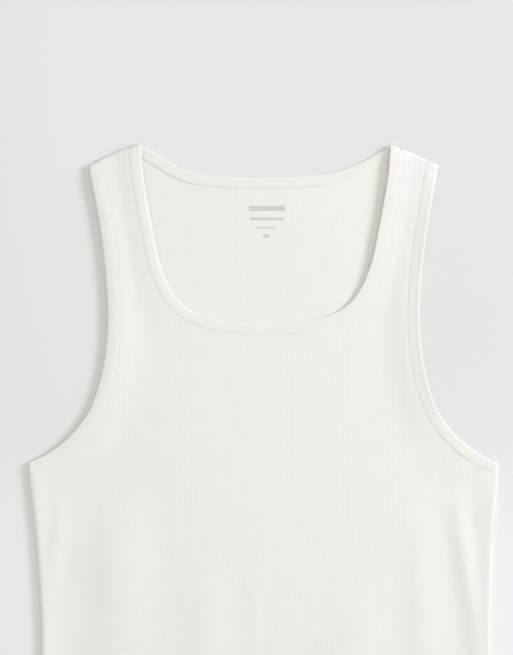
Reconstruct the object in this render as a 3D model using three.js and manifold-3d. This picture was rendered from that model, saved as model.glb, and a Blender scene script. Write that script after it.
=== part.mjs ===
// A fine-ribbed tank top with a square scoop neck, laid flat on its back.
// The back panel lies on the surface and the front panel lies on it. A folded band binds the neck,
// one more binds each armhole, and each panel has its hem turned up inside.
// Millimetres. X runs across the garment, Y from hem to shoulder, Z up from the surface.
import * as THREE from "three";
import { mergeVertices } from "three/addons/utils/BufferGeometryUtils.js";
import Module from "manifold-3d";

const wasm = await Module();
wasm.setup();

// Driving dimensions
const bodyLength = 700;
const neckPointOut = 117.2;
const shoulderSlope = Math.tan(THREE.MathUtils.degToRad(24));
const bandWidth = 11;
const backNeckBandWidth = 10;
const hemDepth = 20;
const underarmDown = 303;

// Cloth
const clothThickness = 1.1;
const bandThickness = 2.6;
const ribPitch = 2.1;
const ribHeight = 0.3;
const ribsAcross = 211;
const chestHalfWidth = (ribsAcross * ribPitch) / 2;
const seamGap = 0.3;

// Heights of the layers where they lie on each other
const halfLength = bodyLength / 2;
const bandHalf = bandThickness / 2;
const backTop = clothThickness;
const foldAxisHeight = bandThickness + seamGap / 2;
const foldRadius = foldAxisHeight - bandHalf;
const frontBandMid = foldAxisHeight + foldRadius;
const hemTop = 2 * clothThickness;
const looseness = 0.3;
const restingMid = backTop + seamGap + looseness + clothThickness / 2;
const hemMid = hemTop + seamGap + 1.5 * clothThickness;

// Outlines of the free edges: "down" is below the highest shoulder point, "out" is from the centre.
const frontNeckEdge = [
  { out: 117, down: -8 },
  { out: 116.2, down: 8 },
  { out: 114.6, down: 29 },
  { out: 110.6, down: 54 },
  { out: 105, down: 84 },
  { out: 99, down: 112 },
  { out: 89.4, down: 136 },
  { out: 75, down: 153.6 },
  { out: 54, down: 163.8 },
  { out: 27, down: 168.2 },
  { out: 0, down: 169.2 },
];
const backNeckEdge = [
  { out: 131, down: -8.6 },
  { out: 120, down: 0.4 },
  { out: 106.2, down: 8.6 },
  { out: 92, down: 16.8 },
  { out: 78, down: 23.8 },
  { out: 60, down: 29 },
  { out: 32, down: 31.6 },
  { out: 0, down: 32.2 },
];
const armholeEdge = [
  { out: 165, down: 4 },
  { out: 162.6, down: 29 },
  { out: 157.8, down: 54 },
  { out: 153.2, down: 82 },
  { out: 149.5, down: 110 },
  { out: 147.2, down: 138 },
  { out: 146.3, down: 166 },
  { out: 148.2, down: 195 },
  { out: 153.4, down: 223 },
  { out: 162.2, down: 248.4 },
  { out: 172.8, down: 265.2 },
  { out: 186.6, down: 280 },
  { out: 204.4, down: 292.4 },
  { out: 222.4, down: 301 },
  { out: 237, down: 307.4 },
];
const sideEdge = [
  { out: chestHalfWidth, down: 300 },
  { out: 217.6, down: 335 },
  { out: 214.8, down: 358 },
  { out: 212.6, down: 392 },
  { out: 210.3, down: 448 },
  { out: 209.6, down: 510 },
  { out: 210.2, down: 600 },
  { out: 211.4, down: 700 },
];

// The front neck lies a little to the right of the centre line, and the ends of the back neck follow it.
const neckShift = 2;
const backEndShift = 3.2;
const backShiftStart = 10;
const backShiftEnd = 30;

// The body lies a little askew: below the chest it drifts to the right.
const bodyLean = 1.7;
const leanStart = 335;
const leanEnd = 460;

// How high the middle of the front neck band is carried, from the shoulder fold to the neck's lowest point.
const neckBandRise = [
  { down: 0, mid: frontBandMid },
  { down: 14, mid: frontBandMid + 0.9 },
  { down: 45, mid: frontBandMid + 1.2 },
  { down: 110, mid: frontBandMid + 0.7 },
  { down: 150, mid: frontBandMid - 0.2 },
  { down: 182, mid: frontBandMid - 1.2 },
];

// The same for the front of an armhole band, from the shoulder fold to the underarm, and for the sides below it.
const armholeBandRise = [
  { down: 18, mid: frontBandMid },
  { down: 32, mid: frontBandMid + 0.7 },
  { down: 60, mid: frontBandMid + 0.9 },
  { down: 230, mid: frontBandMid + 0.9 },
  { down: 285, mid: frontBandMid + 0.5 },
  { down: 303, mid: frontBandMid },
];
const sideMid = frontBandMid + 0.9;

// Soft ridges that the front cloth holds, each along a line that fades at both ends.
const softFolds = [
  { out: -187, down: 336, toOut: -190, toDown: 590, height: 1.7, halfWidth: 9 },
  { out: -137, down: 322, toOut: -143, toDown: 600, height: 1.5, halfWidth: 13 },
  { out: -60, down: 470, toOut: -52, toDown: 660, height: 1.1, halfWidth: 18 },
  { out: -11, down: 410, toOut: -4, toDown: 500, height: 0.7, halfWidth: 8 },
  { out: 74, down: 450, toOut: 68, toDown: 640, height: 1.1, halfWidth: 16 },
  { out: 153, down: 330, toOut: 160, toDown: 600, height: 1.3, halfWidth: 14 },
  { out: 192, down: 338, toOut: 201, toDown: 560, height: 1.8, halfWidth: 8 },
];

// Rows of the front panel. Where slant is 1 a row runs along the shoulder line, where it is 0 straight across.
const frontRows = [
  { down: 0, slant: 1 },
  { down: 0.7, slant: 1 },
  { down: 2.2, slant: 1 },
  { down: 4.8, slant: 1 },
  { down: 36, slant: 0.8 },
  { down: 84, slant: 0.5 },
  { down: 136, slant: 0.2 },
  { down: 184, slant: 0 },
  { down: 244, slant: 0 },
  { down: 303, slant: 0 },
  { down: 350, slant: 0 },
  { down: 420, slant: 0 },
  { down: 520, slant: 0 },
  { down: 640, slant: 0 },
  { down: 680, slant: 0 },
  { down: 700, slant: 0 },
];
const rollRadius = 4.8;
const lipThickness = 1.4;
const edgeSpread = 16;
const straightHalfWidth = 150;
const plainSideStrip = 7;

// A point of the garment laid flat, from its distances out from the centre and down from the shoulder.
function at(out, down) {
  return new THREE.Vector2(out, halfLength - down);
}

function lean(down) {
  return bodyLean * THREE.MathUtils.smoothstep(down, leanStart, leanEnd);
}

function interpolate(table, key, from, value) {
  const next = table.findIndex((row) => row[from] >= value);
  if (next === 0) return table[0][key];
  if (next < 0) return table[table.length - 1][key];
  const [a, b] = [table[next - 1], table[next]];
  return THREE.MathUtils.mapLinear(value, a[from], b[from], a[key], b[key]);
}

// Outlines in plan
const densePoints = 240;

function curvePoints(table) {
  const spline = new THREE.SplineCurve(table.map((row) => at(row.out, row.down)));
  return spline.getSpacedPoints(densePoints);
}

// The points moved sideways, to the right of the way they run when distance is positive.
function offset(points, distance) {
  return points.map((point, i) => {
    const before = points[Math.max(i - 1, 0)];
    const after = points[Math.min(i + 1, points.length - 1)];
    const way = after.clone().sub(before).normalize();
    return new THREE.Vector2(point.x + way.y * distance, point.y - way.x * distance);
  });
}

// The stretch of points on the inner side of each line. A line is { point, normal }, its normal pointing out.
function trim(points, lines) {
  const height = (line, p) => p.clone().sub(line.point).dot(line.normal);
  return lines.reduce((kept, line) => {
    const inside = kept.map((p) => height(line, p) <= 0);
    const first = inside.indexOf(true);
    const last = inside.lastIndexOf(true);
    const crossing = (a, b) => a.clone().lerp(b, height(line, a) / (height(line, a) - height(line, b)));
    const made = kept.slice(first, last + 1);
    if (first > 0) made.unshift(crossing(kept[first - 1], kept[first]));
    if (last < kept.length - 1) made.push(crossing(kept[last], kept[last + 1]));
    return made;
  }, points);
}

// The same line with a given number of equal steps.
function resample(points, steps) {
  const along = [0];
  for (let i = 1; i < points.length; i++) along.push(along[i - 1] + points[i].distanceTo(points[i - 1]));
  const total = along[along.length - 1];
  return Array.from({ length: steps + 1 }, (_, k) => {
    const target = (total * k) / steps;
    const i = Math.max(1, along.findIndex((length) => length >= target - 1e-9));
    const share = (target - along[i - 1]) / Math.max(along[i] - along[i - 1], 1e-9);
    return points[i - 1].clone().lerp(points[i], THREE.MathUtils.clamp(share, 0, 1));
  });
}

const mirrored = (points) => points.map((p) => new THREE.Vector2(-p.x, p.y));

function sideHalfWidth(down) {
  return interpolate(sideEdge, "out", "down", down);
}

function shoulderDown(out) {
  return (THREE.MathUtils.clamp(Math.abs(out), neckPointOut, 170) - neckPointOut) * shoulderSlope;
}

// Fold lines, on which the bands turn over from front to back: one at each shoulder and one at each underarm.
const foldInset = foldRadius + bandHalf;
const shoulderNormal = new THREE.Vector2(shoulderSlope, 1).normalize();
const shoulderFold = {
  point: at(neckPointOut, 0).addScaledVector(shoulderNormal, -foldInset),
  normal: shoulderNormal,
};
const sideFall = sideHalfWidth(underarmDown) - sideHalfWidth(underarmDown + 30);
const underarmNormal = new THREE.Vector2(30, -sideFall).normalize();
const underarmFold = {
  point: at(sideHalfWidth(underarmDown), underarmDown).addScaledVector(underarmNormal, -foldInset),
  normal: underarmNormal,
};
const mirrorLine = (line) => ({
  point: new THREE.Vector2(-line.point.x, line.point.y),
  normal: new THREE.Vector2(-line.normal.x, line.normal.y),
});

// A bound edge: the free edge of the band, and the seam where the band meets the panel.
function boundEdge(freePoints, inward, lines, steps) {
  return {
    free: resample(trim(freePoints, lines), steps),
    seam: resample(trim(offset(freePoints, inward), lines), steps),
  };
}

// Both halves of a neck edge, from the left shoulder to the right one, moved over by a distance that may
// change on the way down.
function wholeNeck(table, shiftAt) {
  const half = curvePoints(table);
  const whole = [...mirrored(half), ...half.reverse().slice(1)];
  return whole.map((p) => new THREE.Vector2(p.x + shiftAt(halfLength - p.y), p.y));
}

const frontNeckShift = () => neckShift;
const backNeckShift = (down) => backEndShift * (1 - THREE.MathUtils.smoothstep(down, backShiftStart, backShiftEnd));

const shoulderFolds = [mirrorLine(shoulderFold), shoulderFold];
const frontNeck = boundEdge(wholeNeck(frontNeckEdge, frontNeckShift), bandWidth, shoulderFolds, 64);
const backNeck = boundEdge(wholeNeck(backNeckEdge, backNeckShift), backNeckBandWidth, shoulderFolds, 30);
const armhole = boundEdge(curvePoints(armholeEdge), bandWidth, [shoulderFold, underarmFold], 34);

// Heights of the front cloth
function nearest(points, x, y) {
  let best = { distance: Infinity, down: 0 };
  for (let i = 1; i < points.length; i++) {
    const [a, b] = [points[i - 1], points[i]];
    const [dx, dy] = [b.x - a.x, b.y - a.y];
    const share = THREE.MathUtils.clamp(((x - a.x) * dx + (y - a.y) * dy) / (dx * dx + dy * dy), 0, 1);
    const [px, py] = [a.x + dx * share, a.y + dy * share];
    const distance = Math.hypot(x - px, y - py);
    if (distance < best.distance) best = { distance, down: halfLength - py };
  }
  return best;
}

function foldHeight(x, down) {
  return softFolds.reduce((height, fold) => {
    const share = (down - fold.down) / (fold.toDown - fold.down);
    if (share <= 0 || share >= 1) return height;
    const middle = THREE.MathUtils.lerp(fold.out, fold.toOut, share);
    const fade = Math.sin(Math.PI * Math.sqrt(share)) ** 2;
    return height + fold.height * fade * Math.exp(-(((x - middle) / fold.halfWidth) ** 2));
  }, 0);
}

// The height of the middle of the front cloth. It meets each edge at that edge's height and rests between them.
function frontMid(x, y) {
  const down = halfLength - y;
  const neck = nearest(frontNeck.seam, x, y);
  const arm = nearest(armhole.seam, Math.abs(x), y);
  const side = down > underarmDown ? sideHalfWidth(down) - Math.abs(x) : Infinity;
  const pulls = [
    { distance: neck.distance, mid: interpolate(neckBandRise, "mid", "down", neck.down) },
    { distance: arm.distance, mid: interpolate(armholeBandRise, "mid", "down", arm.down) },
    { distance: Math.max(side, 0), mid: sideMid },
    { distance: bodyLength - hemDepth - down, mid: hemMid },
  ];
  let [weights, weighted, away] = [0, 0, 1];
  for (const pull of pulls) {
    const weight = Math.exp(-((Math.max(pull.distance, 0) / edgeSpread) ** 2));
    weights += weight;
    weighted += weight * pull.mid;
    away *= 1 - weight;
  }
  const resting = restingMid + foldHeight(x, down);
  return weights < 1e-6 ? resting : away * resting + ((1 - away) * weighted) / weights;
}

// The height to which the front panel's side and shoulder edges roll down.
function lipHeight(row) {
  const backHeight = row.down >= bodyLength - hemDepth ? hemTop : backTop;
  return backHeight + seamGap;
}

// The cloth's edge rolls over a short quarter round, from 0 at the edge to 1 where it is flat.
function roll(distance) {
  const share = THREE.MathUtils.clamp(distance / rollRadius, 0, 1);
  return Math.sqrt(1 - (1 - share) ** 2);
}

// Places of the front panel's grid. "across" is a distance from the centre line, measured at the chest.
function gridX(across, down) {
  const reach = Math.abs(across);
  if (reach <= straightHalfWidth || down < underarmDown) return across;
  const outer = (sideHalfWidth(down) - straightHalfWidth) / (chestHalfWidth - straightHalfWidth);
  return Math.sign(across) * (straightHalfWidth + (reach - straightHalfWidth) * outer);
}

function gridPoint(across, row) {
  const down = row.down + row.slant * shoulderDown(across);
  return at(gridX(across, down), down);
}

function distanceFromShoulder(row) {
  return row.slant === 1 ? row.down : Infinity;
}

function ribRise(across) {
  const ribs = Math.round(Math.abs(across) / (ribPitch / 2));
  return ribs % 2 === 0 && Math.abs(across) < chestHalfWidth - plainSideStrip ? ribHeight : 0;
}

function outerHeight(across, row) {
  const { x, y } = gridPoint(across, row);
  const rolled = roll(distanceFromShoulder(row)) * roll(chestHalfWidth - Math.abs(across));
  const flat = frontMid(x, y) + clothThickness / 2 + ribRise(across);
  return THREE.MathUtils.lerp(lipHeight(row), flat, rolled);
}

function innerHeight(across, row) {
  const { x, y } = gridPoint(across, row);
  const fromShoulder = distanceFromShoulder(row) - lipThickness;
  const fromSide = chestHalfWidth - Math.abs(across) - lipThickness;
  const rolled = roll(fromShoulder) * roll(fromSide);
  const layers = row.down > bodyLength - hemDepth ? 1.5 : 0.5;
  const flat = frontMid(x, y) - clothThickness * layers;
  return THREE.MathUtils.lerp(lipHeight(row), flat, rolled);
}

// Solids
function solid(positions, triangles) {
  const make = (faces) =>
    new wasm.Manifold(
      new wasm.Mesh({
        numProp: 3,
        vertProperties: new Float32Array(positions.flatMap((p) => [p.x, p.y, p.z])),
        triVerts: new Uint32Array(faces.flat()),
      }),
    );
  const made = make(triangles);
  return made.volume() > 0 ? made : make(triangles.map(([a, b, c]) => [a, c, b]));
}

function solidOfGeometry(geometry) {
  const bare = geometry.clone();
  bare.deleteAttribute("normal");
  bare.deleteAttribute("uv");
  const merged = mergeVertices(bare, 1e-4);
  const place = merged.getAttribute("position");
  const positions = Array.from({ length: place.count }, (_, i) => new THREE.Vector3().fromBufferAttribute(place, i));
  const triangles = [];
  for (let i = 0; i < merged.index.count; i += 3) triangles.push([0, 1, 2].map((k) => merged.index.getX(i + k)));
  return solid(positions, triangles);
}

// Everything under a sheet of grid points, down to a flat floor.
function under(columns, rows, heightAt, floor) {
  const width = columns.length;
  const sheet = rows.flatMap((row) =>
    columns.map((across) => {
      const { x, y } = gridPoint(across, row);
      return new THREE.Vector3(x + lean(halfLength - y), y, heightAt(across, row));
    }),
  );
  const base = sheet.map((p) => new THREE.Vector3(p.x, p.y, floor));
  const low = sheet.length;
  const triangles = [];
  for (let r = 0; r < rows.length - 1; r++) {
    for (let c = 0; c < width - 1; c++) {
      const [a, b, d, e] = [r * width + c, r * width + c + 1, (r + 1) * width + c, (r + 1) * width + c + 1];
      triangles.push([a, d, b], [b, d, e], [low + a, low + b, low + d], [low + b, low + e, low + d]);
    }
  }
  const rim = [
    ...columns.map((_, c) => c),
    ...rows.slice(1).map((_, r) => (r + 1) * width + width - 1),
    ...columns.slice(1).map((_, c) => (rows.length - 1) * width + width - 2 - c),
    ...rows.slice(2).map((_, r) => (rows.length - 2 - r) * width),
  ];
  rim.forEach((a, i) => {
    const b = rim[(i + 1) % rim.length];
    triangles.push([a, b, low + a], [b, low + b, low + a]);
  });
  return solid([...sheet, ...base], triangles);
}

function prism(outline, bottom, top) {
  const shape = new THREE.Shape(outline);
  const geometry = new THREE.ExtrudeGeometry(shape, { depth: top - bottom, bevelEnabled: false });
  return solidOfGeometry(geometry.translate(0, 0, bottom));
}

// A cutting line beside a seam: the seam's own points moved by the seam gap, run on past the folds at both ends.
function cutLine(seam, folds) {
  const moved = offset(seam, seamGap);
  const runOn = 24;
  const first = moved[0].clone().addScaledVector(folds[0].normal, runOn);
  const last = moved[moved.length - 1].clone().addScaledVector(folds[1].normal, runOn);
  return [first, ...moved, last];
}

// The outline that a panel is cut to at its neck and armholes, open beyond its shoulders, sides and hem.
function panelCut(neckSeam) {
  const arm = cutLine(armhole.seam, [shoulderFold, underarmFold]);
  const neck = cutLine(neckSeam, shoulderFolds);
  const farOut = chestHalfWidth + 30;
  return [...neck, ...arm, at(farOut, bodyLength + 10), at(-farOut, bodyLength + 10), ...mirrored(arm).reverse()];
}

function frontPanel() {
  const halfRibs = Math.round((4 * chestHalfWidth) / ribPitch);
  const outerColumns = Array.from({ length: halfRibs + 1 }, (_, i) => (i * ribPitch) / 2 - chestHalfWidth);
  const beyond = 6;
  const coarseStep = 12;
  const edgeColumns = [-beyond, 0, lipThickness, lipThickness + 0.7, lipThickness + 2.2, lipThickness + rollRadius];
  const left = edgeColumns.map((inset) => inset - chestHalfWidth);
  const innerColumns = [...left];
  for (let across = -17 * coarseStep; across <= 17 * coarseStep; across += coarseStep) innerColumns.push(across);
  innerColumns.push(...left.map((across) => -across).reverse());
  const shoulderRows = [-beyond, lipThickness, lipThickness + 0.7, lipThickness + 2.2, lipThickness + rollRadius];
  const hemStart = bodyLength - hemDepth;
  const innerRows = [
    ...shoulderRows.map((down) => ({ down, slant: 1 })),
    ...frontRows.filter((row) => row.slant < 1 && row.down < hemStart),
    { down: hemStart, slant: 0 },
    { down: hemStart + 0.6, slant: 0 },
    { down: bodyLength + beyond, slant: 0 },
  ];
  const outer = under(outerColumns, frontRows, outerHeight, -20);
  const inner = under(innerColumns, innerRows, innerHeight, -30);
  const cutter = prism(panelCut(frontNeck.seam), -40, 40);
  return outer.intersect(cutter).subtract(inner);
}

function backPanel() {
  const sidePoints = resample(
    new THREE.SplineCurve(sideEdge.map((row) => at(row.out, row.down))).getSpacedPoints(densePoints),
    14,
  );
  const shoulderTip = at(180, (180 - neckPointOut) * shoulderSlope);
  const shoulder = [100, 180].map((out) => at(out, (out - neckPointOut) * shoulderSlope));
  const right = [...shoulder, at(chestHalfWidth, underarmDown - 30), ...sidePoints];
  const whole = [...right, ...mirrored(right).reverse()];
  const outline = whole.map((p) => new THREE.Vector2(p.x + lean(halfLength - p.y), p.y));
  const sheet = prism(outline, 0, clothThickness).intersect(prism(panelCut(backNeck.seam), -5, 5));
  const hemLine = bodyLength - hemDepth;
  const hemCorners = [at(-chestHalfWidth, hemLine), at(chestHalfWidth, hemLine)];
  const hemStrip = [...hemCorners, at(chestHalfWidth, bodyLength), at(-chestHalfWidth, bodyLength)];
  const turnUp = prism(outline, 0, hemTop).intersect(prism(hemStrip, -5, 5));
  return sheet.add(turnUp);
}

// A band's section: "across" runs from the seam to the free edge, "through" from its inner to its outer face.
const bandSection = [
  { across: 0, through: -1 },
  { across: 0, through: 0.75 },
  { across: 0.08, through: 1 },
  { across: 0.82, through: 1 },
  { across: 0.97, through: 0.55 },
  { across: 1, through: -0.1 },
  { across: 0.97, through: -0.7 },
  { across: 0.84, through: -1 },
];

// One ring of a band. "turn" is 0 on the front and a half turn on the back, about an axis along the fold line.
function bandRing(seamPoint, freePoint, mid, turn, outward) {
  return bandSection.map(({ across, through }) => {
    const plan = seamPoint.clone().lerp(freePoint, across);
    const reach = foldRadius + through * bandHalf;
    const lift = mid - frontBandMid;
    return new THREE.Vector3(
      plan.x + outward.x * reach * Math.sin(turn),
      plan.y + outward.y * reach * Math.sin(turn),
      foldAxisHeight + reach * Math.cos(turn) + lift,
    );
  });
}

const noTurn = new THREE.Vector2();
const frontRings = (edge, midAt) =>
  edge.seam.map((seamPoint, i) => bandRing(seamPoint, edge.free[i], midAt(halfLength - seamPoint.y), 0, noTurn));
const backRings = (edge) =>
  edge.seam.map((seamPoint, i) => bandRing(seamPoint, edge.free[i], frontBandMid, Math.PI, noTurn)).reverse();

// The rings between front and back, where a band turns over at a fold line.
function foldRings(seamPoint, freePoint, normal, backwards = false) {
  const turns = [1, 2, 3].map((step) => (Math.PI * step) / 4);
  if (backwards) turns.reverse();
  return turns.map((turn) => bandRing(seamPoint, freePoint, frontBandMid, turn, normal));
}

function bandSolid(rings) {
  const sides = bandSection.length;
  const triangles = rings.flatMap((_, r) => {
    const next = (r + 1) % rings.length;
    return bandSection.flatMap((__, s) => {
      const [a, b] = [r * sides + s, r * sides + ((s + 1) % sides)];
      const [c, d] = [next * sides + s, next * sides + ((s + 1) % sides)];
      return [
        [a, b, c],
        [b, d, c],
      ];
    });
  });
  return solid(rings.flat(), triangles);
}

function neckBand() {
  const [left, right] = shoulderFolds;
  const last = frontNeck.seam.length - 1;
  return bandSolid([
    ...frontRings(frontNeck, (down) => interpolate(neckBandRise, "mid", "down", down)),
    ...foldRings(frontNeck.seam[last], frontNeck.free[last], right.normal),
    ...backRings(backNeck),
    ...foldRings(frontNeck.seam[0], frontNeck.free[0], left.normal, true),
  ]);
}

function armholeBand() {
  const last = armhole.seam.length - 1;
  return bandSolid([
    ...frontRings(armhole, (down) => interpolate(armholeBandRise, "mid", "down", down)),
    ...foldRings(armhole.seam[last], armhole.free[last], underarmFold.normal),
    ...backRings(armhole),
    ...foldRings(armhole.seam[0], armhole.free[0], shoulderFold.normal, true),
  ]);
}

// The finished model
const ivoryRib = new THREE.MeshStandardMaterial({ color: 0xeeede8, roughness: 0.92, metalness: 0 });
const ivoryBinding = new THREE.MeshStandardMaterial({ color: 0xf0efea, roughness: 0.9, metalness: 0 });

function mesh(name, made, material) {
  const { vertProperties, numProp, triVerts } = made.getMesh();
  const positions = [];
  for (let i = 0; i < vertProperties.length; i += numProp) positions.push(...vertProperties.subarray(i, i + 3));
  const geometry = new THREE.BufferGeometry();
  geometry.setAttribute("position", new THREE.Float32BufferAttribute(positions, 3));
  geometry.setIndex(new THREE.BufferAttribute(triVerts, 1));
  geometry.computeVertexNormals();
  const piece = new THREE.Mesh(geometry, material);
  piece.name = name;
  return piece;
}

const tankTop = new THREE.Group();
tankTop.name = "tank_top";
tankTop.add(mesh("back_panel", backPanel(), ivoryRib));
tankTop.add(mesh("front_panel", frontPanel(), ivoryRib));
tankTop.add(mesh("neck_binding", neckBand(), ivoryBinding));
const armBand = armholeBand();
tankTop.add(mesh("armhole_binding_right_in_view", armBand, ivoryBinding));
tankTop.add(mesh("armhole_binding_left_in_view", armBand.mirror([1, 0, 0]), ivoryBinding));

export default tankTop;
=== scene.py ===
# %% [markdown]
# # A ribbed tank top, laid flat
# The garment is four kinds of piece: a front panel, a back panel, a folded band round the neck and one
# round each armhole. It lies on its back on a pale surface and is seen from straight above.
# Every size below is in millimetres on the cut cloth. "out" is the distance from the centre line and
# "down" the distance below the highest point of the shoulder, as a pattern cutter measures.

# %% Load the frame
import math
import bmesh
import bpy
import numpy as np
from mathutils import Matrix, Vector


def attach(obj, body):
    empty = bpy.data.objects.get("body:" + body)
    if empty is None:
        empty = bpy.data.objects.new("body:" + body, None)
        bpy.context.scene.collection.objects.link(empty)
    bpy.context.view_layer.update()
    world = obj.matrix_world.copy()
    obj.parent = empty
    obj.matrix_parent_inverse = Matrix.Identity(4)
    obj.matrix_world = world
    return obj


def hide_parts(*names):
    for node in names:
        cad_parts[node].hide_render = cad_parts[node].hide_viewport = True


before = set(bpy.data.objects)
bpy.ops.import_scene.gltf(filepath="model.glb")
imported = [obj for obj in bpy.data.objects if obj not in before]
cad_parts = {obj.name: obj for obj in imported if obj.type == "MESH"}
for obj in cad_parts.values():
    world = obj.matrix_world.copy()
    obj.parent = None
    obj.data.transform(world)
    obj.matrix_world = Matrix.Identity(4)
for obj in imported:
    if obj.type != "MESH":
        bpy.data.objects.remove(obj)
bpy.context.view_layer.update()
scene = bpy.context.scene
MM = 0.001
BODY_LENGTH = 700
HALF_LENGTH = BODY_LENGTH / 2
print("nodes:", sorted(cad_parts))

# %% [markdown]
# ## Camera
# The photograph was taken from straight above with little perspective. A long lens high over the garment
# gives that look. An orthographic camera would have no perspective at all, and it could not simply move back
# to show the whole garment, so the lens stays a perspective one.

# %% Camera
PICTURE_WIDTH, PICTURE_HEIGHT = 513, 655
MM_PER_PIXEL = 0.94
CENTRE_LINE_PIXEL = 263.4
SHOULDER_PIXEL = 143
LENS, SENSOR = 85, 36

aim_x = (PICTURE_WIDTH / 2 - CENTRE_LINE_PIXEL) * MM_PER_PIXEL
aim_y = HALF_LENGTH - (PICTURE_HEIGHT / 2 - SHOULDER_PIXEL) * MM_PER_PIXEL
camera_height = PICTURE_HEIGHT * MM_PER_PIXEL * LENS / SENSOR

camera_data = bpy.data.cameras.new("camera")
camera_data.lens = LENS
camera_data.sensor_width = SENSOR
camera = bpy.data.objects.new("camera", camera_data)
camera.location = (aim_x * MM, aim_y * MM, camera_height * MM)
scene.collection.objects.link(camera)
scene.camera = camera
print("camera", round(camera_height), "mm above the surface")

# %% [markdown]
# ## Lamps
# One broad cool lamp stands low on the right and a little towards the shoulders, so each raised edge throws
# a short soft shadow to the left. It is near enough that the cloth is a little brighter on the right. A large
# lamp hangs overhead, and warm light from all round fills the shadows. Light from all round alone would be
# simpler, but it would hide the folds, because they show only by their shaded sides.

# %% Lamps
KEY_TOWARDS = Vector((0.95, 0.3, 0)).normalized()
KEY_ELEVATION = math.radians(27)
KEY_DISTANCE = 2.6
KEY_SPREAD = math.radians(19)
KEY_COLOUR = (0.79, 0.84, 0.92)
KEY_POWER = 52
OVERHEAD_HEIGHT = 3.6
OVERHEAD_WIDTH = 2.2
OVERHEAD_POWER = 43
OVERHEAD_COLOUR = (1.0, 0.98, 0.91)
FILL_COLOUR = (1.0, 0.975, 0.885)
FILL_STRENGTH = 0.515


def lamp(name, direction, distance, width, power, colour):
    """A round lamp that faces the middle of the picture."""
    data = bpy.data.lights.new(name, "AREA")
    data.shape = "DISK"
    data.size = width
    data.energy = power
    data.color = colour
    item = bpy.data.objects.new(name, data)
    item.location = Vector((aim_x * MM, aim_y * MM, 0)) + direction * distance
    item.rotation_mode = "QUATERNION"
    item.rotation_quaternion = direction.to_track_quat("Z", "Y")
    scene.collection.objects.link(item)


key_direction = KEY_TOWARDS * math.cos(KEY_ELEVATION) + Vector((0, 0, math.sin(KEY_ELEVATION)))
key_width = 2 * KEY_DISTANCE * math.tan(KEY_SPREAD / 2)
lamp("key", key_direction, KEY_DISTANCE, key_width, KEY_POWER, KEY_COLOUR)
lamp("overhead", Vector((0, 0, 1)), OVERHEAD_HEIGHT, OVERHEAD_WIDTH, OVERHEAD_POWER, OVERHEAD_COLOUR)

world = bpy.data.worlds.new("soft_room")
world.use_nodes = True
world.node_tree.nodes["Background"].inputs["Color"].default_value = (*FILL_COLOUR, 1)
world.node_tree.nodes["Background"].inputs["Strength"].default_value = FILL_STRENGTH
scene.world = world
scene.view_settings.view_transform = "Standard"
print("key lamp", round(key_width * 100), "cm wide")

# %% [markdown]
# ## Floor
# The garment lies on a plain pale sheet that looks nearly even. Under the low lamp alone it would be brighter
# on one side, so painted shade makes the sheet's grey a touch deeper at the top right, near the lamp, and
# painted light makes it a touch lighter low down. Smooth ramps on the sheet's own place paint that light and
# shade, so it needs no picture.

# %% Floor
FLOOR_COLOUR = (0.747, 0.749, 0.785, 1)
# Painted shade deepens the grey at the top right, near the lamp, and painted light lifts it low down. The
# ramps say where, in metres.
FLOOR_PAINTED_SHADE = (0.908, 0.903, 0.887)
FLOOR_PAINTED_LIGHT = 1.05
FLOOR_HALF_WIDTH = 4
FLOOR_DROP = 0.05
SHADE_TOP_RAMP = (-0.15, 0.2)
SHADE_RIGHT_RAMP = (-0.2, 0.25)
LIGHT_LOW_RAMP = (-0.05, 0.11)

floor_material = bpy.data.materials.new("pale_floor")
floor_material.use_nodes = True
floor_shader = floor_material.node_tree.nodes["Principled BSDF"]
floor_shader.inputs["Roughness"].default_value = 0.9
floor_shader.inputs["Specular IOR Level"].default_value = 0.1


def paint_floor_light_and_shade():
    """The sheet's grey, with painted light low down and painted shade at the top right. The ramps run in
    metres.
    """
    nodes, links = floor_material.node_tree.nodes, floor_material.node_tree.links
    place = nodes.new("ShaderNodeTexCoord")
    apart = nodes.new("ShaderNodeSeparateXYZ")
    links.new(place.outputs["Object"], apart.inputs["Vector"])

    def ramp(axis, reach, low, high):
        start, end = reach
        share = nodes.new("ShaderNodeMapRange")
        share.interpolation_type = "SMOOTHSTEP"
        for name, value in (("From Min", start), ("From Max", end), ("To Min", low), ("To Max", high)):
            share.inputs[name].default_value = value
        links.new(apart.outputs[axis], share.inputs["Value"])
        return share.outputs["Result"]

    # Painted shade: the grey is deepened towards the top right, near the lamp.
    shade_share = nodes.new("ShaderNodeMath")
    shade_share.operation = "MULTIPLY"
    links.new(ramp("X", SHADE_RIGHT_RAMP, 0, 1), shade_share.inputs[0])
    links.new(ramp("Y", SHADE_TOP_RAMP, 0, 1), shade_share.inputs[1])
    painted_shade = nodes.new("ShaderNodeMix")
    painted_shade.data_type = "RGBA"
    painted_shade.inputs["A"].default_value = FLOOR_COLOUR
    painted_shade.inputs["B"].default_value = (*np.multiply(FLOOR_COLOUR[:3], FLOOR_PAINTED_SHADE), 1)
    links.new(shade_share.outputs["Value"], painted_shade.inputs["Factor"])
    # Painted light: the grey is lifted low down.
    tone = nodes.new("ShaderNodeVectorMath")
    tone.operation = "SCALE"
    links.new(painted_shade.outputs["Result"], tone.inputs["Vector"])
    links.new(ramp("Y", LIGHT_LOW_RAMP, FLOOR_PAINTED_LIGHT, 1), tone.inputs["Scale"])
    links.new(tone.outputs["Vector"], floor_shader.inputs["Base Color"])


paint_floor_light_and_shade()

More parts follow.
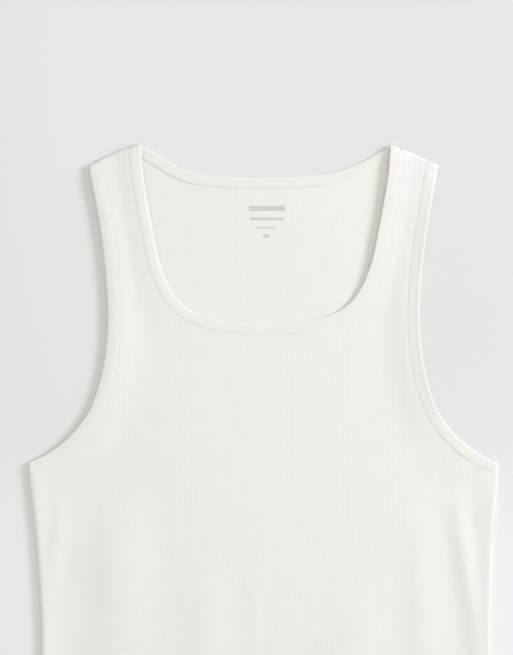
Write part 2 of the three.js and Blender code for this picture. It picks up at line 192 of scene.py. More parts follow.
bm = bmesh.new()
bmesh.ops.create_grid(bm, x_segments=1, y_segments=1, size=FLOOR_HALF_WIDTH)
bmesh.ops.translate(bm, verts=bm.verts, vec=(0, 0, -FLOOR_DROP * MM))
floor_mesh = bpy.data.meshes.new("floor")
bm.to_mesh(floor_mesh)
bm.free()
floor_mesh.materials.append(floor_material)
floor = bpy.data.objects.new("floor", floor_mesh)
scene.collection.objects.link(floor)
print("floor", 2 * FLOOR_HALF_WIDTH, "m wide,", FLOOR_DROP, "mm below the cloth")

# %% [markdown]
# ## Outlines
# A pattern cutter draws each edge through a few measured points. Each table lists the points of one edge on
# the right half, and the left half mirrors it. Long lists of close points could follow a photograph as well,
# but a short table is easier to read and to alter.

# %% Outline tables
NECK_POINT_OUT = 117.2
SHOULDER_POINT_OUT = 170
SHOULDER_SLOPE = math.tan(math.radians(24))
BAND_WIDTH = 11
BACK_NECK_BAND_WIDTH = 10
UNDERARM_DOWN = 303
RIB_PITCH = 2.1
RIBS_ACROSS = 211
CHEST_HALF_WIDTH = RIBS_ACROSS * RIB_PITCH / 2

FRONT_NECK_EDGE = [  # out, down
    (117, -8),
    (116.2, 8),
    (114.6, 29),
    (110.6, 54),
    (105, 84),
    (99, 112),
    (89.4, 136),
    (75, 153.6),
    (54, 163.8),
    (27, 168.2),
    (0, 169.2),
]
BACK_NECK_EDGE = [  # out, down
    (131, -8.6),
    (120, 0.4),
    (106.2, 8.6),
    (92, 16.8),
    (78, 23.8),
    (60, 29),
    (32, 31.6),
    (0, 32.2),
]
ARMHOLE_EDGE = [  # out, down
    (165, 4),
    (162.6, 29),
    (157.8, 54),
    (153.2, 82),
    (149.5, 110),
    (147.2, 138),
    (146.3, 166),
    (148.2, 195),
    (153.4, 223),
    (162.2, 248.4),
    (172.8, 265.2),
    (186.6, 280),
    (204.4, 292.4),
    (222.4, 301),
    (237, 307.4),
]
SIDE_EDGE = [  # out, down
    (CHEST_HALF_WIDTH, 300),
    (217.6, 335),
    (214.8, 358),
    (212.6, 392),
    (210.3, 448),
    (209.6, 510),
    (210.2, 600),
    (211.4, 700),
]
print("chest",round(2 * CHEST_HALF_WIDTH), "mm across,", RIBS_ACROSS, "ribs")

# %% [markdown]
# ## Curves through the tables
# A cutter bends a flexible rule through the points to join them. The curve below does that: it passes through
# every point, with no corner. A Bezier curve could do it as well, but each point's handles would have to be
# set too. The curve is then cut into even steps, so that the bands get evenly spaced rings.

# %% Curves through the tables
CURVE_STEPS = 240
STEPS_TO_A_KNOT = 40
BODY_LEAN = 1.7
LEAN_START, LEAN_END = 335, 460


def smooth_curve(table):
    """Evenly spaced points on the curve that passes through each point of the table."""
    knots = np.array([(out, HALF_LENGTH - down) for out, down in table], float)
    ends = np.vstack([2 * knots[0] - knots[1], knots, 2 * knots[-1] - knots[-2]])
    t = np.linspace(0, len(knots) - 1, STEPS_TO_A_KNOT * len(knots))
    i = np.minimum(t.astype(int), len(knots) - 2)
    f = (t - i)[:, None]
    a, b, c, d = ends[i], ends[i + 1], ends[i + 2], ends[i + 3]
    square, cube = 2 * a - 5 * b + 4 * c - d, 3 * b - a - 3 * c + d
    return resample(0.5 * (2 * b + (c - a) * f + square * f**2 + cube * f**3), CURVE_STEPS)


def resample(points, steps):
    """The same line in a number of equal steps."""
    lengths = np.hypot(*np.diff(points, axis=0).T)
    along = np.concatenate([[0], np.cumsum(lengths)])
    marks = np.linspace(0, along[-1], steps + 1)
    return np.column_stack([np.interp(marks, along, points[:, axis]) for axis in (0, 1)])


def offset(points, distance):
    """The line moved to the right of the way it runs."""
    way = np.gradient(points, axis=0)
    way /= np.hypot(*way.T)[:, None]
    return points + distance * np.column_stack([way[:, 1], -way[:, 0]])


def smooth_step(value, start, end):
    t = np.clip((value - start) / (end - start), 0, 1)
    return t * t * (3 - 2 * t)


def swell(value, start, end):
    """Rises over the span at the start, stays at 1, and falls over the span at the end."""
    return smooth_step(value, *start) * (1 - smooth_step(value, *end))


def lean(down):
    """The body lies a little askew below the chest."""
    return BODY_LEAN * smooth_step(down, LEAN_START, LEAN_END)


def side_half_width(down):
    outs, downs = zip(*SIDE_EDGE)
    return np.interp(down, downs, outs)


def shoulder_down(out):
    """How far down the shoulder has sloped at a distance out from the centre line."""
    return (np.clip(np.abs(out), NECK_POINT_OUT, SHOULDER_POINT_OUT) - NECK_POINT_OUT) * SHOULDER_SLOPE


print("shoulder falls", round(shoulder_down(SHOULDER_POINT_OUT)), "mm")

# %% [markdown]
# ## Where the bands turn over
# A band runs down the front of the armhole, turns over at the side seam, runs up the back and turns over
# again at the shoulder. Each turn is a small half round about a fold line. A sharp crease would be simpler,
# but thick folded knit never lies that flat.

# %% Fold lines
BAND_HALF = 1.3
SEAM_GAP = 0.3
FOLD_AXIS_HEIGHT = 2 * BAND_HALF + SEAM_GAP / 2
FOLD_RADIUS = FOLD_AXIS_HEIGHT - BAND_HALF
FOLD_INSET = FOLD_RADIUS + BAND_HALF
FRONT_BAND_MID = FOLD_AXIS_HEIGHT + FOLD_RADIUS
SIDE_RUN = 30


def fold_line(out, down, normal):
    """A point on the line that the bands turn over, and the way outwards across it."""
    normal = np.array(normal) / np.hypot(*normal)
    return {"point": np.array([out, HALF_LENGTH - down]) - FOLD_INSET * normal, "normal": normal}


side_fall = side_half_width(UNDERARM_DOWN) - side_half_width(UNDERARM_DOWN + SIDE_RUN)
right_shoulder = fold_line(NECK_POINT_OUT, 0, (SHOULDER_SLOPE, 1))
left_shoulder = fold_line(-NECK_POINT_OUT, 0, (-SHOULDER_SLOPE, 1))
underarm = fold_line(side_half_width(UNDERARM_DOWN), UNDERARM_DOWN, (SIDE_RUN, -side_fall))
print("a band turns over with a radius of", round(FOLD_RADIUS, 2), "mm")

# %% [markdown]
# ## Edges of the bands
# A band's free edge follows the outline, and its seam lies one band's width into the cloth. Both are trimmed
# at the fold lines and cut into the same number of steps, so that each ring of the band joins two points that
# match. The front of the neck was laid a little to the right, and the back of the neck moves over only near
# the shoulders. Each band could be drawn by itself, but then the two layers would not meet at the folds.

# %% Bound edges
RING_STEP = 1.6
NECK_SHIFT = 2
BACK_END_SHIFT = 3.2
BACK_SHIFT_START, BACK_SHIFT_END = 10, 30


def trim(points, line):
    """The stretch of points that lies inside the fold line, with a new point where it crosses."""
    height = (points - line["point"]) @ line["normal"]
    inside = np.flatnonzero(height <= 0)
    first, last = inside[0], inside[-1]
    kept = [points[first : last + 1]]
    if first > 0:
        share = height[first - 1] / (height[first - 1] - height[first])
        kept.insert(0, [points[first - 1] + share * (points[first] - points[first - 1])])
    if last < len(points) - 1:
        share = height[last] / (height[last] - height[last + 1])
        kept.append([points[last] + share * (points[last + 1] - points[last])])
    return np.vstack(kept)


def bound_edge(free, width, folds):
    """The free edge of a band and its seam, trimmed at both folds and cut into matching steps."""
    seam = offset(free, width)
    for line in folds:
        free, seam = trim(free, line), trim(seam, line)
    steps = round(np.hypot(*np.diff(free, axis=0).T).sum() / RING_STEP)
    return {"free": resample(free, steps), "seam": resample(seam, steps)}


def whole_neck(table, shift_at):
    """Both halves of a neck edge, moved over by a distance that may change on the way down."""
    half = smooth_curve(table)
    whole = np.vstack([half * (-1, 1), half[-2::-1]])
    shift = shift_at(HALF_LENGTH - whole[:, 1])
    return whole + np.column_stack([shift, np.zeros(len(whole))])


def front_neck_shift(down):
    return np.full(down.shape, NECK_SHIFT)


def back_neck_shift(down):
    return BACK_END_SHIFT * (1 - smooth_step(down, BACK_SHIFT_START, BACK_SHIFT_END))


shoulders = (left_shoulder, right_shoulder)
front_neck = bound_edge(whole_neck(FRONT_NECK_EDGE, front_neck_shift), BAND_WIDTH, shoulders)
back_neck = bound_edge(whole_neck(BACK_NECK_EDGE, back_neck_shift), BACK_NECK_BAND_WIDTH, shoulders)
armhole = bound_edge(smooth_curve(ARMHOLE_EDGE), BAND_WIDTH, (right_shoulder, underarm))
print("rings: neck", len(front_neck["free"]) + len(back_neck["free"]), "armhole", 2 * len(armhole["free"]))

# %% [markdown]
# ## How the front cloth lies
# The front panel is carried by the bands at its edges and rests on the back panel between them. So its
# height is a blend: near an edge it takes the edge's height, far from any edge it rests, and soft folds
# stand up from there. Folds in jersey are long and shallow, die away at both ends and differ a little from
# each other. Cloth dropped in a simulation also folds, but never where the real one does, so a short table
# places them.

# %% Heights of the front cloth
BACK_MID = 0.55
RESTING_MID = 2.25
HEM_MID = 4.15
LIP_HEIGHT = 2.5
HEM_LIP_HEIGHT = 2.9
HEM_DEPTH = 20
HEM_LIP_START = BODY_LENGTH - HEM_DEPTH - 8
EDGE_SPREAD = 16
NECK_BAND_RISE = [  # down, height of the band's middle
    (0, FRONT_BAND_MID),
    (12, FRONT_BAND_MID + 1.5),
    (45, FRONT_BAND_MID + 1.6),
    (110, FRONT_BAND_MID + 0.8),
    (150, FRONT_BAND_MID - 0.8),
    (170, FRONT_BAND_MID - 1.7),
]
ARM_BAND_RISE = [  # down, height of the band's middle
    (18, FRONT_BAND_MID),
    (32, FRONT_BAND_MID + 1.2),
    (60, FRONT_BAND_MID + 1.4),
    (120, FRONT_BAND_MID + 1.1),
    (230, FRONT_BAND_MID + 0.9),
    (285, FRONT_BAND_MID + 0.5),
    (303, FRONT_BAND_MID),
]
SIDE_MID = FRONT_BAND_MID + 0.9
SOFT_FOLDS = [  # out, down, to out, to down, height, half width to the left, to the right
    (-188, 335, -216, 470, 2.4, 6, 10),
    (-148, 318, -146, 520, 0.6, 9, 13),
    (-133, 330, -141, 690, 2.5, 28, 26),
    (-60, 385, -55, 690, 1.4, 16, 26),
    (-12, 405, -5, 500, 0.5, 7, 5),
    (92, 400, 86, 690, 1.3, 32, 17),
    (146, 340, 148, 690, 1.4, 14, 19),
    (179, 326, 222, 610, 2.8, 10, 10),
]
print(len(SOFT_FOLDS), "soft folds, the tallest", max(row[4] for row in SOFT_FOLDS), "mm")

# %% [markdown]
# ## Blending the heights
# Each edge pulls the cloth near it to its own height, and the pull fades within three centimetres. Away from
# all edges the cloth rests, and the soft folds stand up from there. A hard switch between the two would leave
# a step, so each pull is a bell-shaped weight.

# %% Blend the heights
NECK_LINE_STEP = 4
LEAST_WEIGHT = 1e-12


def nearest(line, x, y):
    """Distance from each place to a line, and how far down the line's nearest point is."""
    distance = np.full(x.shape, np.inf)
    down = np.zeros(x.shape)
    for (ax, ay), (bx, by) in zip(line[:-1:NECK_LINE_STEP], line[NECK_LINE_STEP::NECK_LINE_STEP]):
        length = (bx - ax) ** 2 + (by - ay) ** 2
        share = np.clip(((x - ax) * (bx - ax) + (y - ay) * (by - ay)) / length, 0, 1)
        px, py = ax + share * (bx - ax), ay + share * (by - ay)
        here = np.hypot(x - px, y - py)
        down = np.where(here < distance, HALF_LENGTH - py, down)
        distance = np.minimum(here, distance)
    return distance, down


def fold_height(x, down):
    """The soft folds, each a bell across that swells and dies away along its length."""
    height = np.zeros(x.shape)
    for out, start, to_out, end, tall, left_width, right_width in SOFT_FOLDS:
        share = np.clip((down - start) / (end - start), 0, 1)
        beside = x - out - share * (to_out - out)
        across = beside / np.where(beside < 0, left_width, right_width)
        height += tall * np.sin(np.pi * np.sqrt(share)) ** 2 * np.exp(-(across**2))
    return height


def neck_band_mid(down):
    return np.interp(down, *zip(*NECK_BAND_RISE))


def arm_band_mid(down):
    return np.interp(down, *zip(*ARM_BAND_RISE))


def front_mid(x, y):
    """Height of the middle of the front cloth."""
    down = HALF_LENGTH - y
    neck, neck_down = nearest(front_neck["seam"], x, y)
    arm, arm_down = nearest(armhole["seam"], np.abs(x), y)
    side = np.where(down > UNDERARM_DOWN, side_half_width(down) - np.abs(x), np.inf)
    pulls = [
        (neck, neck_band_mid(neck_down)),
        (arm, arm_band_mid(arm_down)),
        (side, SIDE_MID),
        (BODY_LENGTH - HEM_DEPTH - down, HEM_MID),
    ]
    weights, weighted, away = LEAST_WEIGHT, 0, 1
    for distance, mid in pulls:
        weight = np.exp(-((np.maximum(distance, 0) / EDGE_SPREAD) ** 2))
        weights = weights + weight
        weighted = weighted + weight * mid
        away = away * (1 - weight)
    return away * (RESTING_MID + fold_height(x, down)) + (1 - away) * weighted / weights


chest_height = front_mid(np.zeros(1), np.array([HALF_LENGTH - UNDERARM_DOWN]))[0]
print("front cloth at the chest", round(chest_height, 2), "mm above the surface")

# %% [markdown]
# ## Edges that roll and turn
# At the sides and shoulders the cloth rolls over to meet the other panel, softer on the left as it lies here.
# At the hem it turns back inside. Both are bends of a flat sheet, so each is worked out along the cloth, and
# the cloth keeps its length. A bevel on a finished edge would stretch it.

# %% Rolls and turns
LEFT_ROLL, RIGHT_ROLL = 6.5, 1.5
SHOULDER_ROLL = 2.6
SHOULDER_ROWS_END = 12
HEM_RADIUS = 0.55
STITCHED_EDGE = 2


def half_cut(radius):
    """From the centre line to the side edge, measured on the flat cloth."""
    return CHEST_HALF_WIDTH + radius * (math.pi / 2 - 1)


def roll(arc_distance, radius):
    """A quarter round at an edge: how far in from the edge the cloth is, and its share of the full height."""
    arc = radius * math.pi / 2
    turn = np.clip(1 - arc_distance / arc, 0, 1) * math.pi / 2
    inset = radius * (1 - np.sin(turn)) + np.maximum(arc_distance - arc, 0)
    return inset, np.cos(turn)


def hem_turn(along):
    """The cloth turns back inside at the hem: how far down it is, and how far inside the outer leaf."""
    start = BODY_LENGTH - HEM_RADIUS
    turn = np.clip((along - start) / HEM_RADIUS, 0, math.pi)
    past = np.maximum(along - start - math.pi * HEM_RADIUS, 0)
    down = np.minimum(along, start) + HEM_RADIUS * np.sin(turn) - past
    return down, HEM_RADIUS * (1 - np.cos(turn))


def panel_rows(spacing):
    """Places of the grid's rows along the cloth, close together where it bends."""
    top = np.array([0, 0.8, 1.6, 2.4, 3.2, SHOULDER_ROLL * math.pi / 2, SHOULDER_ROWS_END])
    hem_start = BODY_LENGTH - HEM_RADIUS
    bend = hem_start + HEM_RADIUS * np.linspace(0, math.pi, 4)
    inside = bend[-1] + np.array([STITCHED_EDGE, HEM_DEPTH - 4, HEM_DEPTH - 2])
    body = np.arange(SHOULDER_ROWS_END + spacing, BODY_LENGTH - HEM_DEPTH - spacing / 2, spacing)
    hem = BODY_LENGTH - HEM_DEPTH + np.array([0, STITCHED_EDGE, HEM_DEPTH - 6])
    return np.concatenate([top, body, hem, bend, inside])


print("half of the flat cut", round(half_cut(LEFT_ROLL), 1), "and", round(half_cut(RIGHT_ROLL), 1), "mm")

# %% [markdown]
# ## Panels of rib knit
# Rib knit is columns of raised stitches. Each panel starts as a flat grid with four columns of points to a
# rib, which is then laid in place: the points ride up and down over the ribs and follow the rolls and turns.
# Ribs drawn as a bump alone would vanish at the edges and would not be in the mesh at all. The grid's own map
# keeps each point's place on the flat cut, so a finish can follow the cloth.

# %% Panel grid
RIB_HEIGHT = 0.1
STRAIGHT_HALF_WIDTH = 150
COLUMNS = 4 * RIBS_ACROSS
SLANT_START, SLANT_LENGTH = 5, 180


def panel_grid(name, rows, height_at):
    """A grid of ribs by rows, laid in place. height_at gives the middle of the cloth over the surface."""
    bm = bmesh.new()
    bmesh.ops.create_grid(bm, x_segments=COLUMNS, y_segments=len(rows) - 1, size=1)
    mesh = bpy.data.meshes.new(name)
    bm.to_mesh(mesh)
    bm.free()
    place = np.empty(3 * len(mesh.vertices))
    mesh.vertices.foreach_get("co", place)
    u, v = place[0::3], place[1::3]
    radius = np.where(u > 0, RIGHT_ROLL, LEFT_ROLL)
    across = u * half_cut(radius)
    along = rows[np.round((1 - v) / 2 * (len(rows) - 1)).astype(int)]
    side_inset, side_share = roll(half_cut(radius) - np.abs(across), radius)
    reach = CHEST_HALF_WIDTH - side_inset
    top_inset, top_share = roll(along, SHOULDER_ROLL)
    down, inside = hem_turn(np.where(along < SHOULDER_ROWS_END, top_inset, along))
    slant = np.clip(1 - (down - SLANT_START) / SLANT_LENGTH, 0, 1)
    x = np.sign(across) * reach
    down = down + slant * shoulder_down(x)
    narrowing = (side_half_width(down) - STRAIGHT_HALF_WIDTH) / (CHEST_HALF_WIDTH - STRAIGHT_HALF_WIDTH)
    outer = STRAIGHT_HALF_WIDTH + (reach - STRAIGHT_HALF_WIDTH) * narrowing
    x = np.where((reach > STRAIGHT_HALF_WIDTH) & (down > UNDERARM_DOWN), np.sign(across) * outer, x)
    rib = RIB_HEIGHT / 2 * np.cos(2 * math.pi * across / RIB_PITCH)
    y = HALF_LENGTH - down
    z = height_at(x, y, down, inside, side_share * top_share, rib)
    place[0::3], place[1::3], place[2::3] = (x + lean(down)) * MM, y * MM, z * MM
    mesh.vertices.foreach_set("co", place)
    cut_map = mesh.uv_layers.new(name="cut")
    corner = np.empty(len(mesh.loops), int)
    mesh.loops.foreach_get("vertex_index", corner)
    cut_map.data.foreach_set("uv", np.column_stack([across[corner], along[corner]]).ravel() * MM)
    return mesh


print(COLUMNS, "columns of points across a panel")

# %% [markdown]
# ## Cutting out
# A cutter lays a paper pattern on the cloth and cuts along it. Here a prism of the neck and armhole outlines
# is the pattern. The grid's own edge could be bent to the outline, but that would bend the ribs too, and a
# cutter cuts through them.

# %% Cutting prism
CUT_GAP = 0.1
CUT_STEP = 3
RUN_ON = 24
PRISM_MARGIN = 30
PRISM_HALF_HEIGHT = 40


def run_on(seam, first_normal, last_normal):
    """A cutting line beside a seam, carried on past the folds at both ends."""
    line = offset(seam[::CUT_STEP], CUT_GAP)
    return np.vstack([line[0] + RUN_ON * first_normal, line, line[-1] + RUN_ON * last_normal])


def cutting_prism(neck_seam):
    """Everything inside the neck and armhole seams, open past the shoulders, sides and hem."""
    neck = run_on(neck_seam, left_shoulder["normal"], right_shoulder["normal"])
    arm = run_on(armhole["seam"], right_shoulder["normal"], underarm["normal"])
    far, low = CHEST_HALF_WIDTH + PRISM_MARGIN, -HALF_LENGTH - PRISM_MARGIN
    outline = np.vstack([neck, arm, [(far, low), (-far, low)], (arm * (-1, 1))[::-1]])
    bm = bmesh.new()
    corners = [bm.verts.new((x * MM, y * MM, -PRISM_HALF_HEIGHT * MM)) for x, y in outline]
    face = bm.faces.new(corners)
    lifted = bmesh.ops.extrude_face_region(bm, geom=[face])["geom"]
    tops = [v for v in lifted if isinstance(v, bmesh.types.BMVert)]
    bmesh.ops.translate(bm, verts=tops, vec=(0, 0, 2 * PRISM_HALF_HEIGHT * MM))
    bmesh.ops.recalc_face_normals(bm, faces=bm.faces)
    mesh = bpy.data.meshes.new("cutting_prism")
    bm.to_mesh(mesh)
    bm.free()
    return bpy.data.objects.new("cutting_prism", mesh)


print("the prism reaches", PRISM_MARGIN, "mm past the sides and the hem")

# %% [markdown]
# ## From grid to cloth
# Solidify gives the grid the thickness of the cloth, and the prism trims it as scissors would. Both modifiers
# are then applied, so that the prism can be thrown away. Shading is smooth apart from corners of over 50
# degrees, which keeps the cut edges crisp.

# %% Cut out a panel
CLOTH = 0.8
SHARP_ANGLE = math.radians(50)


def say_triangles(name, mesh):
    print(name, sum(len(face.vertices) - 2 for face in mesh.polygons), "triangles")


def finished(piece, *helpers):
    """The piece with its modifiers applied, smooth but for its true corners."""
    evaluated = piece.evaluated_get(bpy.context.evaluated_depsgraph_get())
    mesh = bpy.data.meshes.new_from_object(evaluated)
    mesh.materials.clear()
    piece.modifiers.clear()
    piece.data = mesh
    mesh.shade_smooth()
    mesh.set_sharp_from_angle(angle=SHARP_ANGLE)
    for helper in helpers:
        bpy.data.objects.remove(helper)
    say_triangles(piece.name, mesh)
    return piece


def cut_panel(name, mesh, neck_seam):
    """A panel with its thickness, trimmed to the neck and the armholes."""
    panel = bpy.data.objects.new(name, mesh)
    prism = cutting_prism(neck_seam)
    scene.collection.objects.link(panel)
    scene.collection.objects.link(prism)
    thicken = panel.modifiers.new("thickness", "SOLIDIFY")
    thicken.thickness = CLOTH * MM
    thicken.offset = 0
    scissors = panel.modifiers.new("scissors", "BOOLEAN")
    scissors.operation = "INTERSECT"
    scissors.solver = "MANIFOLD"
    scissors.object = prism
    return finished(panel, prism)


print("cloth", CLOTH, "mm thick")

# %% [markdown]
# ## Front panel
# The front is the top layer. It has rows close enough to carry the soft folds, and its edge hangs down at the
# sides and shoulders to meet the back. Its height blends the edges' pulls with the folds.

# %% Front panel
FRONT_ROW_SPACING = 17


def lip_height(down):
    """How high the front's edge hangs at the sides and shoulders, where it meets the back."""
    return np.where(down > HEM_LIP_START, HEM_LIP_HEIGHT, LIP_HEIGHT)


def front_height(x, y, down, inside, share, rib):
    lip = lip_height(down)
    return lip + (front_mid(x, y) - inside + rib - lip) * share


front_panel = cut_panel(
    "rib_front",
    panel_grid("rib_front", panel_rows(FRONT_ROW_SPACING), front_height),
    front_neck["seam"],
)

# %% [markdown]
# ## Back panel
# The back is the bottom layer. It lies flat on the surface, so its rows can be far apart. Only its edges curl
# up, to meet the front's edge where a maker sews the two together.

# %% Back panel
BACK_ROW_SPACING = 80
SEAM_EASE = 0.05


def back_height(x, y, down, inside, share, rib):
    """The back curls up at the sides and shoulders to meet the front's edge."""
    lip = lip_height(down) - CLOTH - SEAM_EASE
    return lip + (BACK_MID + inside + rib - lip) * share


back_panel = cut_panel(
    "rib_back",
    panel_grid("rib_back", panel_rows(BACK_ROW_SPACING), back_height),
    back_neck["seam"],
)

# %% [markdown]
# ## Section of a band
# Each band is a strip folded in half over the raw edge, so it has an outer leaf, a round free edge and an
# inner leaf. Two rows of stitching press grooves into it. The table below is that folded section. A plain
# tube would be simpler, but its edges would look inflated.

# %% Band section
LEAF = 0.6
BACK_LAP = 0.04
BAND_SECTION = [  # across from the seam to the free edge, height of the leaf
    (0.0, 0.22),
    (0.03, 0.34),
    (0.08, 0.42),
    (0.14, 0.42),
    (0.2, 0.49),
    (0.3, 0.56),
    (0.4, 0.6),
    (0.5, 0.61),
    (0.56, 0.58),
    (0.61, 0.52),
    (0.66, 0.56),
    (0.73, 0.57),
    (0.81, 0.5),
    (0.87, 0.4),
    (0.92, 0.26),
    (0.955, 0.1),
    (0.965, -0.06),
    (0.94, -0.38),
    (0.88, -0.57),
    (0.7, -0.6),
    (0.55, -0.54),
    (0.4, -0.6),
    (0.2, -0.58),
    (0.08, -0.5),
    (0.0, -0.44),
]
print("band section", len(BAND_SECTION), "points")

# %% [markdown]
# ## Rings of a band
# A band is a row of rings, each one the folded section stood across the edge. On the front and the back the
# rings lie flat. At a shoulder or underarm they swing half round the fold line, so the same band carries on
# without a cut.

# %% Rings of a band
TURN_STEPS = 9


def band_ring(seam, free, mid, turn, outward, section):
    """One ring of a band. The turn is 0 on the front and a half turn on the back."""
    across, through = np.array(section).T
    plan = seam + across[:, None] * (free - seam)
    reach = FOLD_RADIUS + through
    plan = plan + outward * (reach * math.sin(turn))[:, None]
    z = FOLD_AXIS_HEIGHT + reach * math.cos(turn) + mid - FRONT_BAND_MID
    return np.column_stack([plan, z])


def back_section(section):
    """On the back the edge of the inner leaf laps over the panel, so that no slot shows."""
    laps = [across == 0 and through < 0 for across, through in section]
    return [(-BACK_LAP if lap else across, through) for lap, (across, through) in zip(laps, section)]


def flat_rings(edge, turn, mid_at, section):
    """The rings along one edge, front or back, with no swing."""
    still = np.zeros(2)
    return [
        band_ring(seam, free, mid_at(HALF_LENGTH - seam[1]), turn, still, section)
        for seam, free in zip(edge["seam"], edge["free"])
    ]


def lifted_rings(edge, mid_at, section, lift_at):
    """The front rings of a band whose free edge curls up a little, or down."""
    rings = flat_rings(edge, 0, mid_at, section)
    across = np.array(section)[:, 0]
    for ring, seam in zip(rings, edge["seam"]):
        ring[:, 2] += across**2 * lift_at(seam[0], HALF_LENGTH - seam[1])
    return rings


def turned_rings(seam, free, normal, section, backwards=False):
    """The rings between front and back, where the band turns over a fold line."""
    turns = np.linspace(0, math.pi, TURN_STEPS)[1:-1]
    if backwards:
        turns = turns[::-1]
    return [band_ring(seam, free, FRONT_BAND_MID, turn, normal, section) for turn in turns]


print(TURN_STEPS - 2, "rings between front and back at each turn")

# %% [markdown]
# ## From rings to a band
# The strip is a grid whose columns follow the folded section and whose rows follow the edge, all the way
# round and back to the start. Merging the first row with the last closes it, and Solidify gives the strip
# its thickness. A curve with a bevel would be shorter to write, but it would twist where the band turns over.

# %% Make a band
MERGE_WITHIN = 0.01


def band(name, rings):
    """A closed band through its rings."""
    points = np.array(rings + rings[:1])
    rows, columns = points.shape[:2]
    bm = bmesh.new()
    bmesh.ops.create_grid(bm, x_segments=columns - 1, y_segments=rows - 1, size=1)
    around = bm.loops.layers.uv.new("cut")
    steps = np.hypot(*np.diff(points[:, 0, :2], axis=0).T)
    along = np.concatenate([[0], np.cumsum(steps)])
    for vert in bm.verts:
        column = round((vert.co.x + 1) / 2 * (columns - 1))
        row = round((vert.co.y + 1) / 2 * (rows - 1))
        for loop in vert.link_loops:
            loop[around].uv = (BAND_SECTION[column][0] * BAND_WIDTH * MM, along[row] * MM)
        vert.co = Vector(points[row, column]) * MM
    bmesh.ops.remove_doubles(bm, verts=bm.verts, dist=MERGE_WITHIN * MM)
    mesh = bpy.data.meshes.new(name)
    bm.to_mesh(mesh)
    bm.free()
    piece = bpy.data.objects.new(name, mesh)
    scene.collection.objects.link(piece)
    thicken = piece.modifiers.new("leaf", "SOLIDIFY")
    thicken.thickness = LEAF * MM
    thicken.offset = 0
    return finished(piece)


print("leaf of a band", LEAF, "mm thick")

# %% [markdown]
# ## Paths of the three bands
# The neck band runs round the whole neck, over both shoulders. Each armhole band runs round its armhole. No
# sewn edge lies dead flat: the right edges curl up a little here and throw the wider shadows, and the left
# ones curl down. The left armhole band mirrors the right one, but for its curl.

# %% Band paths
BACK_BAND_DROP = 0.35
BACK_NECK_SPAN = (2, 18)
BACK_ARM_START, BACK_ARM_END = (20, 40), (280, 300)
RIGHT_LIFT, LEFT_LIFT = 1.6, -0.6
ARM_CURL_START, ARM_CURL_END = (20, 70), (230, 300)
NECK_LEFT_LIFT, NECK_LOW_LIFT = -0.5, -0.4
NECK_RIGHT_OUT, NECK_LEFT_OUT = (20, 80), (0, 70)
NECK_LEFT_START, NECK_LEFT_END = (10, 60), (110, 165)
NECK_LOW_START = (130, 165)
NECK_RIGHT_LIFT = [  # down, lift
    (2, 0),
    (20, 0.9),
    (60, 0.5),
    (110, 0.7),
    (155, 0.8),
    (168, 0.2),
]


def back_neck_mid(down):
    return FRONT_BAND_MID - BACK_BAND_DROP * smooth_step(down, *BACK_NECK_SPAN)


def back_arm_mid(down):
    return FRONT_BAND_MID - BACK_BAND_DROP * swell(down, BACK_ARM_START, BACK_ARM_END)


def neck_lift(x, down):
    """The free edge curls up along the right side of the neck, and down along the left and the bottom."""
    right = smooth_step(x, *NECK_RIGHT_OUT)
    left = smooth_step(-x, *NECK_LEFT_OUT) * swell(down, NECK_LEFT_START, NECK_LEFT_END)
    low = smooth_step(down, *NECK_LOW_START) * (1 - right)
    return np.interp(down, *zip(*NECK_RIGHT_LIFT)) * right + NECK_LEFT_LIFT * left + NECK_LOW_LIFT * low


def arm_lift(lift):
    """A curl that dies away towards the shoulder and the underarm."""
    return lambda x, down: lift * swell(down, ARM_CURL_START, ARM_CURL_END)


def neck_path(section):
    """Rings all round the neck: front, right shoulder, back, left shoulder."""
    front_ends = front_neck["seam"], front_neck["free"]
    return (
        lifted_rings(front_neck, neck_band_mid, section, neck_lift)
        + turned_rings(*[end[-1] for end in front_ends], right_shoulder["normal"], section)
        + flat_rings(back_neck, math.pi, back_neck_mid, back_section(section))[::-1]
        + turned_rings(*[end[0] for end in front_ends], left_shoulder["normal"], section, True)
    )


def arm_path(section, lift):
    """Rings all round the right armhole: front, underarm, back, shoulder."""
    ends = armhole["seam"], armhole["free"]
    return (
        lifted_rings(armhole, arm_band_mid, section, arm_lift(lift))
        + turned_rings(*[end[-1] for end in ends], underarm["normal"], section)
        + flat_rings(armhole, math.pi, back_arm_mid, back_section(section))[::-1]
        + turned_rings(*[end[0] for end in ends], right_shoulder["normal"], section, True)
    )


def mirrored(rings):
    return [ring * (-1, 1, 1) for ring in rings]


print("neck free edge curls", NECK_LEFT_LIFT, "mm on the left")

# %% [markdown]
# ## The three bands
# On the real garment each band is one long strip, folded over the raw edge and sewn down. With the section
# and the paths set, each is one call here. Its rings are kept.

# %% Neck band and armhole bands
neck_rings = neck_path(BAND_SECTION)
neck_band = band("neck_band", neck_rings)
right_arm_rings = arm_path(BAND_SECTION, RIGHT_LIFT)
right_arm_band = band("right_arm_band", right_arm_rings)
left_arm_rings = mirrored(arm_path(BAND_SECTION, LEFT_LIFT))
left_arm_band = band("left_arm_band", left_arm_rings)

# %% [markdown]
# ## A stitch
# Two rows of fine stitches hold each band, seen on both faces, and two more hold the hem. A stitch is a short
# bead of thread laid in the groove that it pulls into the cloth, and the next one starts a small step on. One
# bead is made once and copied to each place, because making all three thousand from the start would be slow.

# %% Stitch sizes and the bead
STITCH_PITCH = 3
STITCH_LENGTH = 2.2
THREAD_RADIUS = 0.17
BAND_STITCH_ROWS = [  # across from the seam, height of the thread
    (0.61, 0.52 + LEAF / 2),
    (0.13, 0.42 + LEAF / 2),
    (0.55, -0.54 - LEAF / 2),
    (0.1, -0.52 - LEAF / 2),
]
HEM_STITCH_DOWNS = (BODY_LENGTH - HEM_DEPTH + 1, BODY_LENGTH - HEM_DEPTH + 5)


